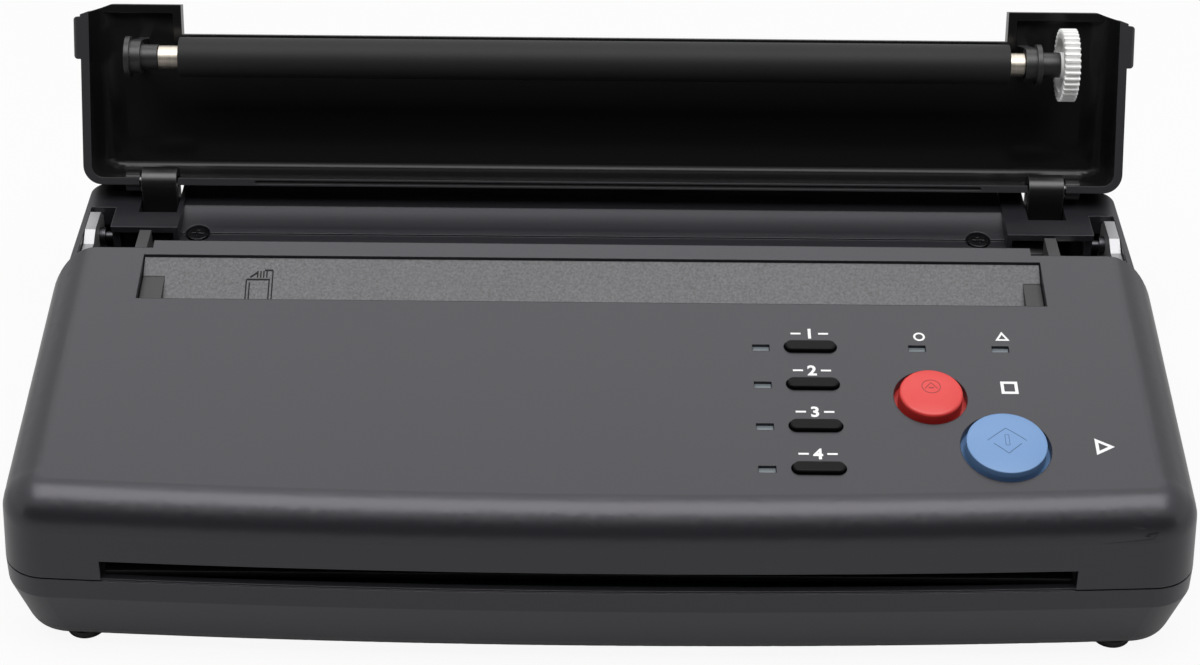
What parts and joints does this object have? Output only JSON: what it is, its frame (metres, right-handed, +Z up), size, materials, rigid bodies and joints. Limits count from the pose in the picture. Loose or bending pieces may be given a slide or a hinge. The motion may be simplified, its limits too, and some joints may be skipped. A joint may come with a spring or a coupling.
{
  "type": "thermal stencil copier",
  "caption": "Desktop thermal stencil copier with a sloping key panel, document chute and a hinged lid that carries the platen roller.",
  "frame": {"origin": "on the table, under the middle of the box that the open machine fills", "axes": "+X to the right seen from the operator, +Y to the back, +Z up"},
  "size_m": [0.2768, 0.1618, 0.0923],
  "materials": {
    "casing": "fine moulded grain",
    "ramp": "coarse spark-eroded grain",
    "inner_black": "plain",
    "guide_black": "satin",
    "print_white": "printed marks",
    "ramp_groove": "moulded mark",
    "red_groove": "moulded mark",
    "blue_groove": "moulded mark",
    "clear_glass": "polished",
    "foot_rubber": "matt",
    "screw_steel": "plated",
    "dark_screw": "blackened",
    "frame_grey": "satin",
    "plate_grey": "satin",
    "motor_steel": "satin",
    "spring_steel": "bright",
    "circuit_green": "solder mask",
    "lamp_lens": "pale translucent",
    "bracket_black": "glossy",
    "lid_black": "glossy inside, fine grain outside",
    "pin_steel": "turned",
    "bush_black": "satin",
    "shaft_steel": "ground",
    "platen_rubber": "ground silicone rubber",
    "white_gear": "acetal",
    "head_ceramic": "glazed",
    "pinion_brass": "machined",
    "key_black": "satin",
    "stop_red": "satin",
    "start_blue": "satin"
  },
  "bodies": {
    "base": {"base_shell": "casing", "base_feet": "foot_rubber", "base_screws": "screw_steel", "front_cover": "casing", "rear_housing": "casing", "document_ramp": "ramp", "edge_guides": "guide_black", "exit_guide": "inner_black", "scan_sensor": "inner_black", "scan_glass": "clear_glass", "bearing_frame_left": "frame_grey", "bearing_frame_right": "frame_grey", "stepper_motor": "motor_steel", "document_roller_bushes": "inner_black", "head_springs": "spring_steel", "main_board": "circuit_green", "power_board": "circuit_green", "key_board": "circuit_green", "key_switches": "inner_black", "indicator_lenses": "lamp_lens", "power_inlet": "inner_black", "power_switch_frame": "inner_black", "deck_screws": "dark_screw", "side_plate_left": "plate_grey", "side_plate_right": "plate_grey", "plate_screws": "dark_screw", "hinge_bracket_left": "bracket_black", "hinge_bracket_right": "bracket_black"},
    "lid": {"lid_shell": "lid_black", "hinge_pin_left": "pin_steel", "hinge_pin_right": "pin_steel", "platen_bush_left": "bush_black", "platen_bush_right": "bush_black"},
    "platen": {"platen_shaft": "shaft_steel", "platen_rubber": "platen_rubber", "platen_gear": "white_gear"},
    "print_head": {"print_head": "head_ceramic", "head_carrier": "motor_steel"},
    "document_roller": {"document_roller_shaft": "shaft_steel", "document_roller_rubber": "platen_rubber", "document_roller_gear": "white_gear"},
    "drive_gear": {"drive_gear": "white_gear"},
    "idler_gear_rear": {"idler_gear_rear": "white_gear"},
    "idler_gear_front": {"idler_gear_front": "white_gear"},
    "motor_pinion": {"motor_pinion": "pinion_brass", "motor_shaft": "shaft_steel"},
    "key_1": {"key_1": "key_black"},
    "key_2": {"key_2": "key_black"},
    "key_3": {"key_3": "key_black"},
    "key_4": {"key_4": "key_black"},
    "stop_button": {"stop_button": "stop_red"},
    "start_button": {"start_button": "start_blue"},
    "mains_rocker": {"power_switch_rocker": "inner_black"}
  },
  "joints": [
    {"name": "lid_hinge", "type": "hinge", "parent": "base", "child": "lid", "pos_m": [0, 0.05324, 0.0504], "axis": [1, 0, 0], "range_deg": [0, 115.35]},
    {"name": "platen_spin", "type": "hinge", "parent": "lid", "child": "platen", "pos_m": [0, 0.06466, 0.08128], "axis": [1, 0, 0], "continuous": true},
    {"name": "head_float", "type": "slide", "parent": "base", "child": "print_head", "axis": [0, 0, 1], "range_m": [-0.001, 0], "stiffness_N_per_m": 1500, "springref_m": 0.003, "deforming": ["head_springs"]},
    {"name": "document_roller_spin", "type": "hinge", "parent": "base", "child": "document_roller", "pos_m": [0, -0.02291, 0.03948], "axis": [1, 0, 0], "continuous": true},
    {"name": "drive_gear_spin", "type": "hinge", "parent": "base", "child": "drive_gear", "pos_m": [0.119, 0.03064, 0.03018], "axis": [1, 0, 0], "continuous": true},
    {"name": "idler_gear_rear_spin", "type": "hinge", "parent": "base", "child": "idler_gear_rear", "pos_m": [0.119, 0.01074, 0.02485], "axis": [1, 0, 0], "continuous": true},
    {"name": "idler_gear_front_spin", "type": "hinge", "parent": "base", "child": "idler_gear_front", "pos_m": [0.119, -0.00677, 0.03247], "axis": [1, 0, 0], "continuous": true},
    {"name": "motor_spin", "type": "hinge", "parent": "base", "child": "motor_pinion", "pos_m": [0.119, 0.04285, 0.02313], "axis": [1, 0, 0], "continuous": true},
    {"name": "key_1_press", "type": "slide", "parent": "base", "child": "key_1", "axis": [0, 0.1797, -0.9837], "range_m": [0, 0.0008], "stiffness_N_per_m": 400, "springref_m": -0.0005},
    {"name": "key_2_press", "type": "slide", "parent": "base", "child": "key_2", "axis": [0, 0.1797, -0.9837], "range_m": [0, 0.0008], "stiffness_N_per_m": 400, "springref_m": -0.0005},
    {"name": "key_3_press", "type": "slide", "parent": "base", "child": "key_3", "axis": [0, 0.1797, -0.9837], "range_m": [0, 0.0008], "stiffness_N_per_m": 400, "springref_m": -0.0005},
    {"name": "key_4_press", "type": "slide", "parent": "base", "child": "key_4", "axis": [0, 0.1797, -0.9837], "range_m": [0, 0.0008], "stiffness_N_per_m": 400, "springref_m": -0.0005},
    {"name": "stop_press", "type": "slide", "parent": "base", "child": "stop_button", "axis": [0, 0.1797, -0.9837], "range_m": [0, 0.0012], "stiffness_N_per_m": 400, "springref_m": -0.0006},
    {"name": "start_press", "type": "slide", "parent": "base", "child": "start_button", "axis": [0, 0.1797, -0.9837], "range_m": [0, 0.0012], "stiffness_N_per_m": 400, "springref_m": -0.0006},
    {"name": "mains_rocker_tilt", "type": "hinge", "parent": "base", "child": "mains_rocker", "pos_m": [-0.062, 0.05914, 0.0144], "axis": [0, 0, 1], "range_deg": [-18, 0]}
  ],
  "couplings": [
    {"joint": "idler_gear_front_spin", "follows": "document_roller_spin", "ratio": -0.84211},
    {"joint": "idler_gear_rear_spin", "follows": "document_roller_spin", "ratio": 0.84211},
    {"joint": "drive_gear_spin", "follows": "document_roller_spin", "ratio": -0.72727},
    {"joint": "motor_spin", "follows": "document_roller_spin", "ratio": 2.6667}
  ]
}
